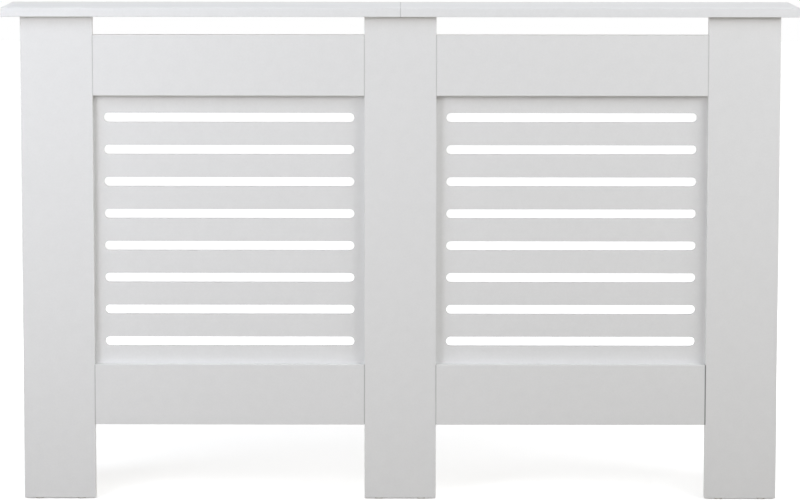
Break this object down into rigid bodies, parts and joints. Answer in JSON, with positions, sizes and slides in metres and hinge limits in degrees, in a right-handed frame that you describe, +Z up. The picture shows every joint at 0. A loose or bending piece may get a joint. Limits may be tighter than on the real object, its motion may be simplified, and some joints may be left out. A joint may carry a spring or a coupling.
{
  "type": "radiator cover cabinet",
  "caption": "White painted radiator cover with a jointed shelf, slatted grilles between posts and rails, an open back and knock-down fittings.",
  "frame": {"origin": "on the floor, in the middle of the width and of the depth", "axes": "+X along the front to the right, +Y towards the wall, +Z up; the front with the grilles faces -Y"},
  "size_m": [1.304, 0.19, 0.815],
  "materials": {
    "board_paint": "satin white paint on fibreboard",
    "grille_paint": "satin white paint on fibreboard",
    "beech": "fluted beech, unfinished",
    "screw_steel": "zinc-plated steel",
    "cam_alloy": "die-cast zinc alloy",
    "zinc_plate": "zinc-plated pressed steel",
    "glide_plastic": "moulded plastic"
  },
  "bodies": {
    "root": {"shelf_left": "board_paint", "shelf_right": "board_paint", "post_left": "board_paint", "post_centre": "board_paint", "post_right": "board_paint", "top_rail_left": "board_paint", "top_rail_right": "board_paint", "bottom_rail_left": "board_paint", "bottom_rail_right": "board_paint", "grille_left": "grille_paint", "grille_right": "grille_paint", "side_panel_left": "board_paint", "side_panel_right": "board_paint", "shelf_cleat": "board_paint", "rail_dowels": "beech", "side_dowels": "beech", "shelf_dowels": "beech", "shelf_joint_dowels": "beech", "cleat_dowels": "beech", "rail_cam_bolts": "screw_steel", "side_cam_bolts": "screw_steel", "shelf_cam_bolts": "screw_steel", "cleat_cam_bolts": "screw_steel", "grille_screws": "screw_steel", "cleat_screws": "screw_steel", "bracket_screws": "screw_steel", "rail_cam_locks": "cam_alloy", "side_cam_locks": "cam_alloy", "shelf_cam_locks": "cam_alloy", "cleat_cam_locks": "cam_alloy", "wall_bracket_left": "zinc_plate", "wall_bracket_centre": "zinc_plate", "wall_bracket_right": "zinc_plate", "foot_glides": "glide_plastic"}
  },
  "joints": []
}
